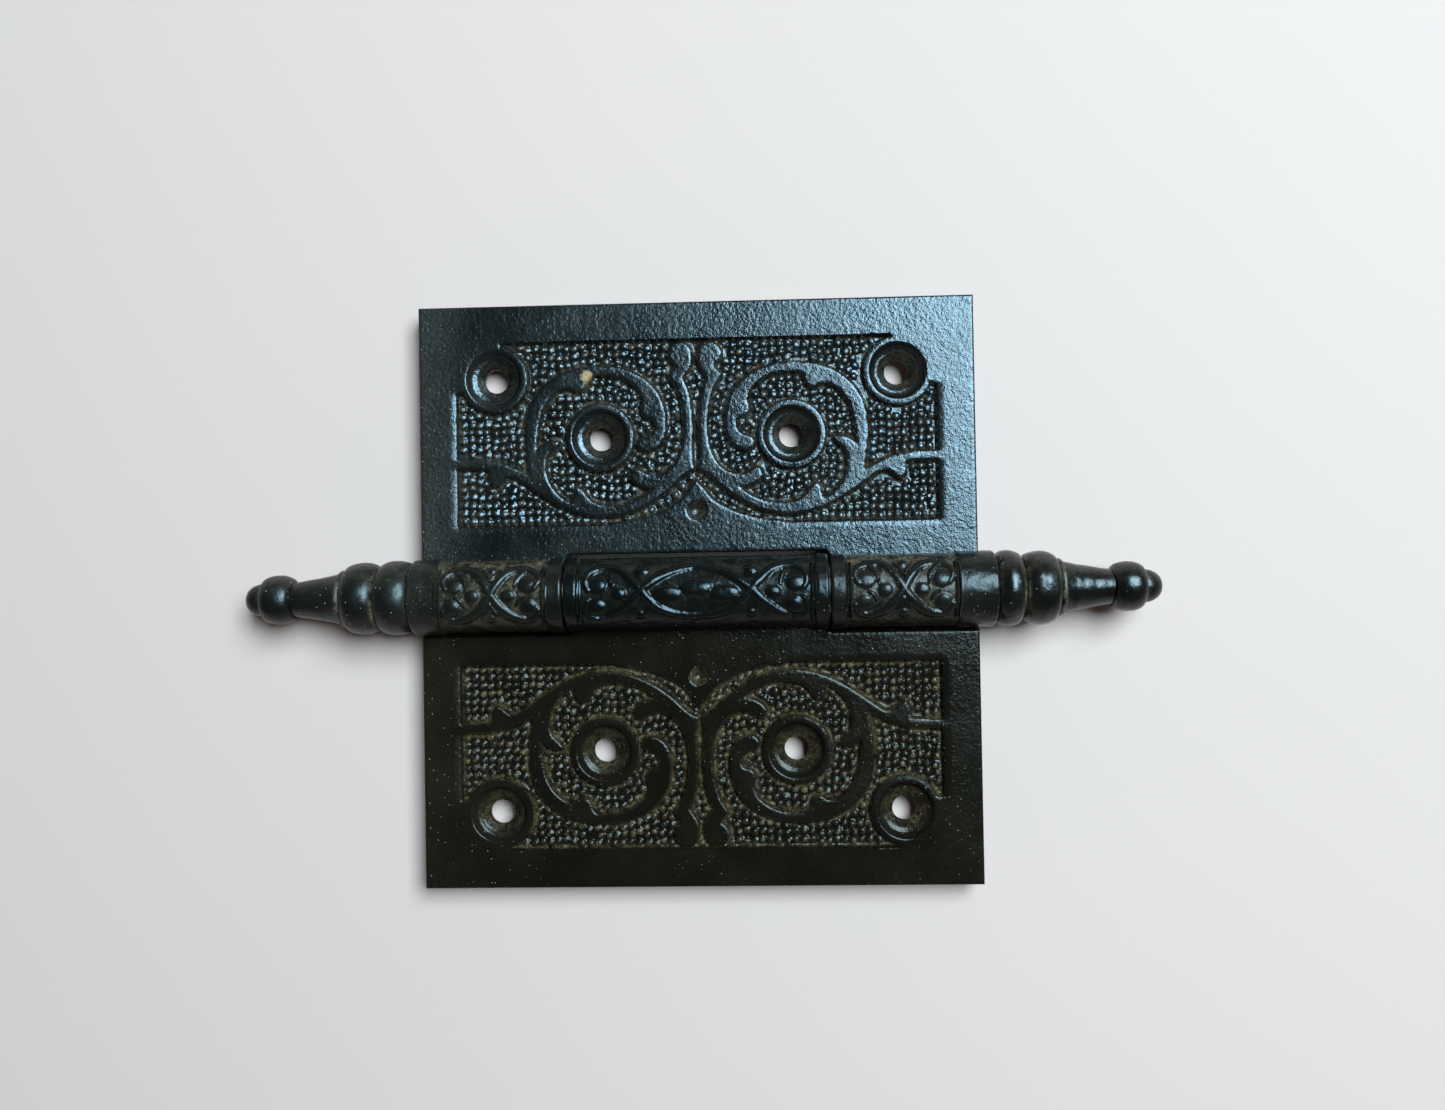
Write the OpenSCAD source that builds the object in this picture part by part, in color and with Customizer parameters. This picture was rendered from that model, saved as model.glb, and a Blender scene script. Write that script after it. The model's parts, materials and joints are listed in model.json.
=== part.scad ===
// Cast-iron loose-pin butt hinge with steeple tips, open flat.
// +X runs along the pin towards the loose tip, +Y towards the two-knuckle leaf,
// +Z away from the decorated faces. The origin is on the pin's axis at mid-length.

/* [Leaves] */
// Length of each leaf along the pin
leaf_length = 101.6; // [95:0.1:110]
// Distance from the pin's axis to a leaf's outer edge
leaf_reach = 53.3; // [52:0.1:60]
// Thickness of a leaf
leaf_thickness = 3.2; // [2.8:0.1:3.6]
// Drop of the decorated face below the pin's axis
face_drop = 0.9; // [0.5:0.1:1.2]
// Space between a leaf's inner edge and the other leaf's knuckle
edge_gap = 0.5; // [0.3:0.1:1]

/* [Knuckles] */
// Diameter of the barrel
barrel_diameter = 13.7; // [12.5:0.1:14]
// Length of the centre knuckle
centre_knuckle_length = 46.9; // [40:0.1:52]
// Distance from mid-length to the lower knuckle's outer end
lower_knuckle_end = 51.5; // [50.8:0.1:53]
// Distance from mid-length to the upper knuckle's outer end
upper_knuckle_end = 53; // [50.8:0.1:54]
// Joint space between neighbouring knuckles
knuckle_gap = 0.35; // [0.25:0.05:0.6]
// Depth of the sunk ground under the knuckle ornament
ornament_sink = 0.35; // [0.2:0.05:0.5]

/* [Pin and bushes] */
// Diameter of the pin
pin_diameter = 6.35; // [5:0.05:7]
// Radial clearance of the pin in its bores
running_clearance = 0.05; // [0.02:0.01:0.1]
// Length of the pin held inside the loose tip
pin_grip = 10; // [6:0.5:12]
// Outer diameter of a wear bush
bush_diameter = 10.4; // [9:0.1:11]
// Thickness of a wear bush
bush_thickness = 1.7; // [1:0.1:3]

/* [Steeple tips] */
// Length of the lower tip beyond its knuckle
lower_tip_length = 31.3; // [28:0.1:34]
// Length of the upper tip beyond its knuckle
upper_tip_length = 29.8; // [27:0.1:33]
// Width of the ring next to the knuckle on the lower tip
first_ring_width = 6.4; // [3.5:0.1:7]
// Diameter of the ring next to the knuckle
first_ring_diameter = 13.7; // [13:0.1:14]
// Diameter of the second ring
second_ring_diameter = 13.3; // [12.5:0.1:13.8]
// Diameter of the bead near the end
bead_diameter = 9; // [8:0.1:10]
// Diameter of the end button
button_diameter = 5.8; // [5:0.1:6.5]

/* [Screw holes] */
// Diameter of the straight part of a screw hole
hole_diameter = 4.4; // [4:0.1:5]
// Diameter of the countersink's mouth
countersink_diameter = 10.4; // [9.6:0.1:11]
// Spacing of the two holes near the outer edge
outer_hole_spacing = 73.8; // [70:0.1:76]
// Distance of those holes from the pin's axis
outer_hole_reach = 39.8; // [39:0.1:41]
// Spacing of the two holes inside the spirals
inner_hole_spacing = 35; // [34:0.1:36]
// Distance of those holes from the pin's axis
inner_hole_reach = 28.7; // [28:0.1:29.5]
// Diameter of the flush boss round each hole
boss_diameter = 12.8; // [12.2:0.1:13.4]

/* [Sunk panel] */
// Depth of the panel below the leaf's face
panel_depth = 1.1; // [0.6:0.1:1.5]
// Half length of the panel along the pin
panel_half_length = 43.8; // [43:0.1:45]
// Panel edge near the barrel
panel_near = 12.8; // [12.4:0.1:13]
// Panel edge near the outer edge
panel_far = 46.3; // [46:0.1:47]

/* [Hidden] */
$fn = 96;
overlap = 1;
barrel_radius = barrel_diameter / 2;
knuckle_chamfer = 0.5;
outer_knuckle_start = centre_knuckle_length / 2 + knuckle_gap;
lower_knuckle_length = lower_knuckle_end - outer_knuckle_start;
upper_knuckle_length = upper_knuckle_end - outer_knuckle_start;
leaf_inner_edge = barrel_radius + edge_gap;
leaf_back = -face_drop - leaf_thickness;
pin_bore_radius = pin_diameter / 2 + running_clearance;
bush_seat_clearance = 0.02;
bush_proud = knuckle_gap - 0.05;
tip_seat_gap = 0.05;
stud_grip = 10;
stud_space = 1;
dimple_radius = 1.9;
dimple_reach = 15.1;
dimple_depth = 1.2;
corner_fill = [35.5, 37.2];
inner_plain = 2.5;
outer_plain = 5;
upper_outer_plain = outer_plain + upper_knuckle_end - lower_knuckle_end;
centre_knuckle_plain = 2.2;
iron = "#20262b";
steel = "#8d9196";

// Flush scrollwork of one half panel as [x, y] points, x counted from the centre
// line and y from the pin's axis, with the outline's corners where curves meet.
tail_top = [[45, 24.9], [42, 24.8], [39, 24.8], [36, 24.2], [33, 23], [30.3, 21.7]];
spiral_outside = [[30.3, 21.7], [30.8, 24.5], [31.1, 28], [31.1, 31], [30.3, 34.6], [28.7, 37.3],
    [26.3, 39.5], [23, 40.9], [18, 41.6], [13.5, 41.1], [9, 38.9], [6.6, 35.8], [5.6, 31.5],
    [6, 28.5], [7.2, 26.8], [8.6, 26.3], [10, 26.5], [10.5, 27.4], [10.1, 28.2]];
spiral_inside = [[10.1, 28.2], [8.5, 28.7], [7.3, 30.5], [7.7, 32], [9, 32.3]];
spiral_back = [[9, 32.3], [9.7, 33.4], [9.4, 35.3], [10.4, 37.5], [13, 39.5], [17, 40.3],
    [19.3, 40], [20.2, 38.5], [21, 37.4]];
upper_leaf_tip = [[21, 37.4], [22.7, 37.9], [24.3, 37.9], [26.5, 36.5], [28.5, 33.3],
    [29.3, 29.5], [29.5, 26.1]];
side_leaf_tip = [[29.5, 26.1], [28.3, 27.3], [26.8, 28], [25.3, 27.8]];
side_hollow = [[25.3, 27.8], [26.9, 26.2], [27.7, 24], [27.3, 21], [25.5, 18.3], [22.9, 16.8]];
lower_leaf_tip = [[22.9, 16.8], [22.6, 18.2], [21.8, 19.5]];
lower_hollow = [[21.8, 19.5], [20.2, 17.9], [17.5, 16.2], [14.5, 16], [11, 17], [7.2, 19.5]];
lower_curl = [[7.2, 19.5], [9.5, 19.6], [11.4, 20.6], [11.7, 22.2], [10.5, 22.5], [8, 21.4],
    [5.3, 22.2], [3.1, 24.8], [2, 29], [2.2, 34], [3.2, 37.5], [4.7, 39.9]];
stem_knob = [[4.7, 39.9], [3.5, 41.2], [3.5, 42]];
knob_side = [[3.5, 42], [4.4, 42.9], [4.7, 44.4], [4.3, 47]];
stem_slot = [[0.8, 47], [0.7, 44], [1, 41.4], [2.4, 39.2]];
stem_side = [[2.4, 39.2], [1.3, 36.4], [0.8, 33], [0.7, 29.5], [0.9, 26], [0.5, 22.7]];
scroll_foot = [[0.5, 22.7], [2.5, 21.6], [5, 19.2], [8, 17.1], [12, 15.2], [17.5, 14.4],
    [22.5, 15.4], [27.5, 17.9], [32, 21], [34.5, 21.9], [36.3, 20.8], [37.2, 20.3]];
tail_end = [[37.2, 20.3], [37.9, 22], [38.2, 23.5]];
tail_foot = [[38.2, 23.5], [41, 23.6], [45, 23.6]];
// Edge of the rounded rise in the border round the dimple
border_rise = [[15.5, 12.6], [12, 13.1], [8, 14.2], [5.3, 15.4], [2.8, 17], [1, 19.2], [0, 20.2]];

// Point of a Catmull-Rom curve through b and c, at t of the way from b to c
function curve_point(a, b, c, d, t) =
    ((2 * b) + (c - a) * t + (2 * a - 5 * b + 4 * c - d) * t * t
     + (3 * b - a - 3 * c + d) * t * t * t) / 2;

// Smooth curve through a list of points, without its last point
function smooth(points, steps = 3) =
    [for (i = [0 : len(points) - 2], s = [0 : steps - 1])
        curve_point(points[max(i - 1, 0)], points[i], points[i + 1],
                    points[min(i + 2, len(points) - 1)], s / steps)];

scroll_outline = concat(smooth(tail_top), smooth(spiral_outside), smooth(spiral_inside),
    smooth(spiral_back), smooth(upper_leaf_tip), smooth(side_leaf_tip), smooth(side_hollow),
    smooth(lower_leaf_tip), smooth(lower_hollow), smooth(lower_curl), smooth(stem_knob),
    smooth(knob_side), [[4.3, 47]], smooth(stem_slot), smooth(stem_side), smooth(scroll_foot),
    smooth(tail_end), smooth(tail_foot), [[45, 23.6]]);

// Cylinder along +X from x = start
module bar(start, length, radius) {
    translate([start, 0, 0])
        rotate([0, 90, 0])
            cylinder(h = length, r = radius);
}

// Solid of revolution about the X axis, from a profile of [radius, x] points
module turned(profile) {
    rotate([0, 90, 0])
        rotate_extrude()
            polygon(profile);
}

// One knuckle with chamfered ends and a sunk band between two plain bands
module knuckle(start, length, plain_start, plain_end) {
    finish = start + length;
    chamfer = knuckle_chamfer;
    sunk = barrel_radius - ornament_sink;
    turned([
        [0, start],
        [barrel_radius - chamfer, start],
        [barrel_radius, start + chamfer],
        [barrel_radius, start + plain_start],
        [sunk, start + plain_start + ornament_sink],
        [sunk, finish - plain_end - ornament_sink],
        [barrel_radius, finish - plain_end],
        [barrel_radius, finish - chamfer],
        [barrel_radius - chamfer, finish],
        [0, finish]
    ]);
}

// Positions of a leaf's four screw holes
module at_holes() {
    for (side = [-1, 1]) {
        translate([side * outer_hole_spacing / 2, outer_hole_reach, 0])
            children();
        translate([side * inner_hole_spacing / 2, inner_hole_reach, 0])
            children();
    }
}

// Stepped countersink and straight hole, cut downwards from the leaf's face
module screw_hole() {
    mouth = countersink_diameter / 2;
    hole = hole_diameter / 2;
    translate([0, 0, -face_drop])
        rotate_extrude()
            polygon([
                [0, overlap],
                [mouth, overlap],
                [mouth, 0],
                [mouth - 1.1, -1.1],
                [mouth - 1.9, -1.4],
                [hole, -2.2],
                [hole, -leaf_thickness - overlap],
                [0, -leaf_thickness - overlap]
            ]);
}

// Flush parts that stand in one half of the panel, with its filled outer corner
module half_scrollwork() {
    polygon(scroll_outline);
    polygon(concat(smooth(border_rise), [[0, 20.2], [-0.5, 20.2], [-0.5, 11], [15.5, 11]]));
    translate(corner_fill)
        square([panel_half_length, panel_far] - corner_fill + [overlap, overlap]);
}

// Outline of the sunk ground, with the scrolls and bosses left standing
module panel_ground() {
    difference() {
        translate([-panel_half_length, panel_near])
            square([2 * panel_half_length, panel_far - panel_near]);
        half_scrollwork();
        mirror([1, 0])
            half_scrollwork();
        at_holes()
            circle(d = boss_diameter);
    }
}

// Decorated plate of one leaf, lying on the +Y side of the barrel
module plate(own_knuckles) {
    difference() {
        union() {
            translate([-leaf_length / 2, leaf_inner_edge, leaf_back])
                cube([leaf_length, leaf_reach - leaf_inner_edge, leaf_thickness]);
            for (span = own_knuckles)
                translate([span[0], barrel_radius * 0.55, leaf_back])
                    cube([span[1] - span[0], leaf_inner_edge, leaf_thickness]);
        }
        translate([0, 0, -face_drop - panel_depth])
            linear_extrude(panel_depth + overlap)
                panel_ground();
        at_holes()
            screw_hole();
        translate([0, dimple_reach, -face_drop - dimple_depth])
            cylinder(h = dimple_depth, r1 = dimple_radius * 0.3, r2 = dimple_radius);
    }
}

module two_knuckle_leaf() {
    joint = outer_knuckle_start;
    color(iron)
        difference() {
            union() {
                plate([[-leaf_length / 2, -joint], [joint, leaf_length / 2]]);
                knuckle(joint, upper_knuckle_length, inner_plain, upper_outer_plain);
                knuckle(-lower_knuckle_end, lower_knuckle_length, outer_plain, inner_plain);
            }
            bar(-lower_knuckle_end - overlap,
                lower_knuckle_end + upper_knuckle_end + 2 * overlap, pin_bore_radius);
        }
}

module one_knuckle_leaf() {
    half = centre_knuckle_length / 2;
    seat_depth = bush_thickness - bush_proud;
    seat_radius = bush_diameter / 2 + bush_seat_clearance;
    color(iron)
        difference() {
            union() {
                mirror([0, 1, 0])
                    plate([[-half, half]]);
                knuckle(-half, centre_knuckle_length, centre_knuckle_plain, centre_knuckle_plain);
            }
            bar(-half - overlap, centre_knuckle_length + 2 * overlap, pin_bore_radius);
            bar(half - seat_depth, seat_depth + overlap, seat_radius);
            bar(-half - overlap, seat_depth + overlap, seat_radius);
        }
}

// Steeple tip as [radius, x] points: two rings, a slender cone, a bead and a button
function arch(x0, x1, base, crest, steps = 12) =
    [for (i = [0 : steps])
        [base + (crest - base) * sin(180 * i / steps), x0 + (x1 - x0) * (1 - cos(180 * i / steps)) / 2]];

module tip_solid(length, ring_end) {
    rest = length - ring_end;
    cone_start = ring_end + 0.25 * rest;
    neck = ring_end + 0.642 * rest;
    bead_end = ring_end + 0.893 * rest;
    cone_profile = [for (i = [0 : 6])
        [4.95 - 1.75 * pow(i / 6, 0.85), cone_start + (neck - cone_start) * i / 6]];
    button_profile = [for (i = [0 : 6])
        [button_diameter / 2 * cos(15 * i), bead_end + (length - bead_end) * sin(15 * i)]];
    turned(concat(
        [[0, 0]],
        arch(0, ring_end, 5.5, first_ring_diameter / 2),
        arch(ring_end, cone_start, 5.4, second_ring_diameter / 2),
        cone_profile,
        arch(neck, bead_end, 2.7, bead_diameter / 2),
        [for (point = button_profile) [max(point[0], 0), point[1]]]
    ));
}

module top_tip() {
    color(iron)
        translate([upper_knuckle_end + tip_seat_gap, 0, 0])
            difference() {
                tip_solid(upper_tip_length, first_ring_width + upper_tip_length - lower_tip_length);
                bar(-overlap, pin_grip + overlap, pin_diameter / 2);
            }
}

module bottom_tip() {
    color(iron)
        mirror([1, 0, 0])
            translate([lower_knuckle_end, 0, 0])
                difference() {
                    tip_solid(lower_tip_length, first_ring_width);
                    bar(-overlap, stud_grip + overlap, pin_bore_radius);
                }
}

module hinge_pin() {
    pin_start = -lower_knuckle_end + stud_grip + stud_space;
    pin_end = upper_knuckle_end + tip_seat_gap + pin_grip;
    radius = pin_diameter / 2;
    color(steel)
        turned([
            [0, pin_start],
            [radius - 1, pin_start],
            [radius, pin_start + 1.5],
            [radius, pin_end],
            [0, pin_end]
        ]);
}

// Stud driven into the lower knuckle, with the bottom tip on its other end
module bottom_tip_stud() {
    color(steel)
        bar(-lower_knuckle_end - stud_grip, 2 * stud_grip, pin_bore_radius);
}

module bush(start) {
    color(steel)
        difference() {
            bar(start, bush_thickness, bush_diameter / 2);
            bar(start - overlap, bush_thickness + 2 * overlap, pin_bore_radius);
        }
}

module top_bush() {
    bush(centre_knuckle_length / 2 + bush_proud - bush_thickness);
}

module bottom_bush() {
    bush(-centre_knuckle_length / 2 - bush_proud);
}

two_knuckle_leaf();
one_knuckle_leaf();
hinge_pin();
top_tip();
bottom_tip();
bottom_tip_stud();
top_bush();
bottom_bush();
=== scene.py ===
import json
import bpy
import numpy as np
from mathutils import Euler, Matrix, Vector, geometry


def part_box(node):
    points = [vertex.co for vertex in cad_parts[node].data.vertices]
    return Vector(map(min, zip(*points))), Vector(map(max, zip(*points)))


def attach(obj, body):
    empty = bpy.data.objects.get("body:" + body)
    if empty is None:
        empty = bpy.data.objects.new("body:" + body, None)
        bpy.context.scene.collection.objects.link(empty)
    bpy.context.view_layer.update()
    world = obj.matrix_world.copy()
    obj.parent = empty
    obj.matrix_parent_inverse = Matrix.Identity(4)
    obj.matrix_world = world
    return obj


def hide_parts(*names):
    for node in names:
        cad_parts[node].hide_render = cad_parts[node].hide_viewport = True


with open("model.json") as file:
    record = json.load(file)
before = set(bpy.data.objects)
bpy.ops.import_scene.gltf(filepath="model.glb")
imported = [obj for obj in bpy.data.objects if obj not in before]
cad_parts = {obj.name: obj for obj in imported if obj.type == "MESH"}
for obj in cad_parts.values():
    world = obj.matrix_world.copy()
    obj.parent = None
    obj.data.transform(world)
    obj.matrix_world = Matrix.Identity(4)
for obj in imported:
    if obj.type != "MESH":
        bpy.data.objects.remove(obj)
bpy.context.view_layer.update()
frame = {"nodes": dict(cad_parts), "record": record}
mm = 0.001
record = frame["record"]


# measures
print("stage 1: measures from the frame")


def mountOf(name):
    # the record's mount of that name
    return next(m for m in record["mounts"] if m["name"] == name)


outerScrews = mountOf("two_knuckle_outer_screws")
innerScrews = mountOf("two_knuckle_inner_screws")
leafLow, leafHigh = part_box("two_knuckle_leaf")

hinge = {
    "length": 101.6,                       # leaf along the pin
    "reach": leafHigh.y / mm,              # pin's axis to the outer edge
    "back": outerScrews["pos_m"][2] / mm,  # height of the leaf's back
    "thickness": 3.2,
    "barrelRadius": leafHigh.z / mm,
    "lowerEnd": -leafLow.x / mm, "upperEnd": leafHigh.x / mm,  # outer ends of the two side knuckles
    "centreHalf": 23.45,
    "knuckleGap": 0.35,
    "boreRadius": 3.225,
    "innerEdge": leafHigh.z / mm + 0.5,    # leaf's edge beside the other leaf's knuckle
}
hinge["face"] = hinge["back"] + hinge["thickness"]
screwHoles = np.array([
    [side * m["dims"]["spacing_x_mm"] / 2, m["pos_m"][1] / mm]
    for m in (outerScrews, innerScrews) for side in (-1, 1)])


# shape helpers
def smoothCurve(points, steps=6):
    # Catmull-Rom curve through the points, as whole arrays, without its last point
    p = np.array(points, float)
    q = np.vstack([p[:1], p, p[-1:]])
    t = (np.arange(steps) / steps)[None, :, None]
    a, b, c, d = (q[i:len(p) - 1 + i][:, None, :] for i in range(4))
    curve = 2 * b + (c - a) * t + (2 * a - 5 * b + 4 * c - d) * t**2 + (3 * b - a - 3 * c + d) * t**3
    return (curve / 2).reshape(-1, p.shape[1])


def inChunks(function, points, size=3000):
    # runs a function of an array of points on pieces of it, to save memory
    return np.concatenate([function(points[i:i + size]) for i in range(0, len(points), size)])


def signedDistance(points, outline):
    # distance to the nearest side of a closed outline, negative inside it
    a = outline
    side = np.roll(outline, -1, 0) - a
    squared = (side**2).sum(1)

    def piece(p):
        away = p[:, None, :] - a[None]
        t = np.clip((away * side).sum(2) / squared, 0, 1)
        nearest = np.sqrt(((away - t[..., None] * side)**2).sum(2)).min(1)
        above = a[:, 1] > p[:, None, 1]
        crosses = above != np.roll(above, -1, 1)
        at = a[:, 0] + (p[:, None, 1] - a[:, 1]) * side[:, 0] / np.where(side[:, 1] == 0, 1e-9, side[:, 1])
        inside = (crosses & (p[:, None, 0] < at)).sum(1) % 2 == 1
        return np.where(inside, -nearest, nearest)

    return inChunks(piece, points)


def smoothStep(low, high, value):
    # 0 below low, 1 above high, 3 t ** 2 - 2 t ** 3 between; falls instead when low is the greater
    t = np.clip((value - low) / (high - low), 0, 1)
    return t * t * (3 - 2 * t)


def castWaves(x, y, seed, longest, size, count=14):
    # uneven cast surface: a sum of sine waves in random directions, wavelengths from longest down to a
    # quarter of it
    r = np.random.default_rng(seed)
    angle = r.uniform(0, 2 * np.pi, count)
    wave = 2 * np.pi / (longest * r.uniform(0.25, 1, count))
    phase = r.uniform(0, 2 * np.pi, count)
    total = np.zeros_like(x)
    for i in range(count):
        total += np.sin(wave[i] * (x * np.cos(angle[i]) + y * np.sin(angle[i])) + phase[i])
    return total * size / np.sqrt(count)


sharpAngle = 38  # degrees; edges that turn more than this are shaded as edges


def makePiece(name, points, faces, body, nodes, material, dustAndPaintedLight):
    # a closed mesh from arrays in millimetres, with its dust and painted light as a point attribute
    mesh = bpy.data.meshes.new(name)
    mesh.from_pydata(points * mm, [], [f for group in faces for f in group.tolist()])
    mesh.shade_smooth()
    mesh.set_sharp_from_angle(angle=np.radians(sharpAngle))
    mesh.attributes.new("dustAndPaintedLight", "FLOAT", "POINT").data.foreach_set("value", dustAndPaintedLight.astype(np.float32))
    mesh.materials.append(material)
    piece = bpy.data.objects.new(name, mesh)
    bpy.context.scene.collection.objects.link(piece)
    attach(piece, body)
    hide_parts(*nodes)
    print("  ", name, len(points), "points", sum(len(g) * (g.shape[1] - 2) for g in faces), "triangles")


# materials
print("stage 2: materials")


def linear(hexColour):
    # sRGB hex to linear RGBA
    c = np.array([int(hexColour[i:i + 2], 16) / 255 for i in (1, 3, 5)])
    c = np.where(c <= 0.04045, c / 12.92, ((c + 0.055) / 1.055)**2.4)
    return (*c.tolist(), 1.0)


def addNode(tree, kind, settings=(), links=()):
    # a node with its properties or socket values set, and its inputs linked
    node = tree.nodes.new(kind)
    for key, value in dict(settings).items():
        if isinstance(key, str) and hasattr(node, key):
            setattr(node, key, value)
        else:
            node.inputs[key].default_value = value
    for key, source in dict(links).items():
        tree.links.new(source, node.inputs[key])
    return node


def newMaterial(name):
    # a material with its node tree and its main shader
    material = bpy.data.materials.new(name)
    material.use_nodes = True
    tree = material.node_tree
    shader = next(n for n in tree.nodes if n.type == "BSDF_PRINCIPLED")
    return material, tree, shader


def perMetre(sizeInMm):
    # texture scale whose features are about that size on Object coordinates in metres
    return 1 / (sizeInMm * mm)


def ramp(tree, source, low, high):
    # 0 below low, 1 above high, smooth between
    node = addNode(tree, "ShaderNodeMapRange", {"interpolation_type": "SMOOTHSTEP", 1: low, 2: high},
                   {0: source})
    return node.outputs[0]


def times(tree, a, b):
    # a product of two node outputs, or of one and a number
    node = addNode(tree, "ShaderNodeMath", {"operation": "MULTIPLY"}, {0: a})
    if isinstance(b, float):
        node.inputs[1].default_value = b
    else:
        tree.links.new(b, node.inputs[1])
    return node.outputs[0]


def mixColour(tree, factor, a, b):
    # colour a at factor 0 and colour b at factor 1, each a linear colour or a node's output
    node = addNode(tree, "ShaderNodeMix", {"data_type": "RGBA"}, {0: factor})
    for socket, value in ((6, a), (7, b)):
        if isinstance(value, tuple):
            node.inputs[socket].default_value = value
        else:
            tree.links.new(value, node.inputs[socket])
    return node.outputs[2]


def japannedIron(name, values):
    # Black asphalt japan baked on cast iron: a near-black glossy film that follows the sand-cast skin, so its
    # reflections break into fine orange peel; grey-brown dust lies in the hollows, the same colour is painted on as
    # painted light where the point attribute marks lit places, with cream specks.
    material, tree, shader = newMaterial(name)
    place = addNode(tree, "ShaderNodeTexCoord").outputs["Object"]
    cloud = addNode(tree, "ShaderNodeTexNoise", {"Scale": perMetre(14), "Detail": 5.0, "Roughness": 0.6},
                    {"Vector": place}).outputs["Fac"]
    peel = addNode(tree, "ShaderNodeTexNoise", {"Scale": perMetre(values["peelSize"]), "Detail": 3.0,
                   "Roughness": 0.55}, {"Vector": place}).outputs["Fac"]
    grit = addNode(tree, "ShaderNodeTexNoise", {"Scale": perMetre(0.22), "Detail": 2.0},
                   {"Vector": place}).outputs["Fac"]
    base = mixColour(tree, ramp(tree, cloud, 0.35, 0.7), linear(values["film"]), linear(values["thin"]))

    # the point attribute: dust in the hollows plus painted light, on lit pebble tops, scroll walls and the window's
    # side of barrel and tips
    dustAndPaintedLightMask = addNode(tree, "ShaderNodeAttribute", {"attribute_name": "dustAndPaintedLight"}).outputs["Fac"]
    patchy = ramp(tree, addNode(tree, "ShaderNodeTexNoise", {"Scale": perMetre(2.2), "Detail": 6.0,
                  "Roughness": 0.7}, {"Vector": place}).outputs["Fac"], 0.36, 0.66)
    powderAndPaintedLight = times(tree, times(tree, dustAndPaintedLightMask, patchy), values["dustAndPaintedLightAmount"])
    grain = addNode(tree, "ShaderNodeMapRange", {1: 0.35, 2: 0.65, 3: 0.25, 4: 1.5}, {0: addNode(
        tree, "ShaderNodeTexNoise", {"Scale": perMetre(0.45), "Detail": 2.0}, {"Vector": place}).outputs["Fac"]})
    along = addNode(tree, "ShaderNodeSeparateXYZ", {}, {0: place}).outputs["X"]
    haze = ramp(tree, along, *(x * mm for x in values["hazeAlong"]))
    powderAndPaintedLight = addNode(tree, "ShaderNodeMath", {"operation": "MULTIPLY_ADD", "use_clamp": True, 1: values["settled"]},
                     {0: haze, 2: powderAndPaintedLight}).outputs[0]
    powderAndPaintedLight = times(tree, powderAndPaintedLight, grain.outputs[0])
    # the dust colour goes in as dust and, where the attribute marks lit places, as painted highlight
    base = mixColour(tree, powderAndPaintedLight, base, linear(values["dustAndPaintedLight"]))

    cells = addNode(tree, "ShaderNodeTexVoronoi", {"Scale": perMetre(values["speckSpacing"]),
                    "Randomness": 1.0}, {"Vector": place})
    inner, outer = values["speckRadii"]  # as shares of the spacing
    dot = addNode(tree, "ShaderNodeMapRange", {1: inner, 2: outer, 3: 1.0, 4: 0.0},
                  {0: cells.outputs["Distance"]})
    chosen = ramp(tree, addNode(tree, "ShaderNodeSeparateColor", {}, {0: cells.outputs["Color"]}).outputs[0],
                  0.55, 0.9)
    drift = addNode(tree, "ShaderNodeTexNoise", {"Scale": perMetre(30), "Detail": 3.0}, {"Vector": place})
    region = addNode(tree, "ShaderNodeMath", {"operation": "MAXIMUM"},
                     {0: ramp(tree, drift.outputs["Fac"], 0.4, 0.62), 1: haze}).outputs[0]
    specks = times(tree, times(tree, times(tree, dot.outputs[0], chosen), region), values["speckAmount"])
    base = mixColour(tree, specks, base, linear(values["speck"]))
    for x, y, size, colour in values["marks"]:  # chips and rust at their places on the leaf's face
        centre = (x * mm, y * mm, hinge["face"] * mm)
        away = addNode(tree, "ShaderNodeVectorMath", {"operation": "DISTANCE", 1: centre}, {0: place})
        uneven = addNode(tree, "ShaderNodeMath", {"operation": "MULTIPLY_ADD", 1: values["markUneven"] * mm},
                         {0: peel, 2: away.outputs["Value"]})
        mark = ramp(tree, uneven.outputs[0], (size + 1.05) * mm, (size + 0.6) * mm)
        base = mixColour(tree, mark, base, linear(colour))
    tree.links.new(base, shader.inputs["Base Color"])

    gloss = addNode(tree, "ShaderNodeMapRange", {1: 0.3, 2: 0.7, 3: values["rough"] - 0.05,
                    4: values["rough"] + 0.07}, {0: cloud}).outputs[0]
    gloss = addNode(tree, "ShaderNodeMath", {"operation": "MULTIPLY_ADD", 1: values["hazeRough"]},
                    {0: haze, 2: gloss}).outputs[0]
    matt = addNode(tree, "ShaderNodeMath", {"operation": "ADD"}, {0: powderAndPaintedLight, 1: specks}).outputs[0]
    rough = addNode(tree, "ShaderNodeMath", {"operation": "MULTIPLY_ADD", 1: 0.55, "use_clamp": True},
                    {0: matt, 2: gloss}).outputs[0]
    tree.links.new(rough, shader.inputs["Roughness"])
    shader.inputs["IOR"].default_value = 1.55
    shader.inputs["Specular IOR Level"].default_value = values["specular"]
    shader.inputs["Specular Tint"].default_value = values["specularTint"]

    skin = addNode(tree, "ShaderNodeBump", {
        "Strength": values["peelStrength"], "Distance": values["peelDepth"] * mm},
                   {"Height": peel}).outputs[0]
    fine = addNode(tree, "ShaderNodeBump", {
        "Strength": values["gritStrength"], "Distance": values["gritDepth"] * mm},
                   {"Height": grit, "Normal": skin}).outputs[0]
    tree.links.new(fine, shader.inputs["Normal"])
    return material


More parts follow.
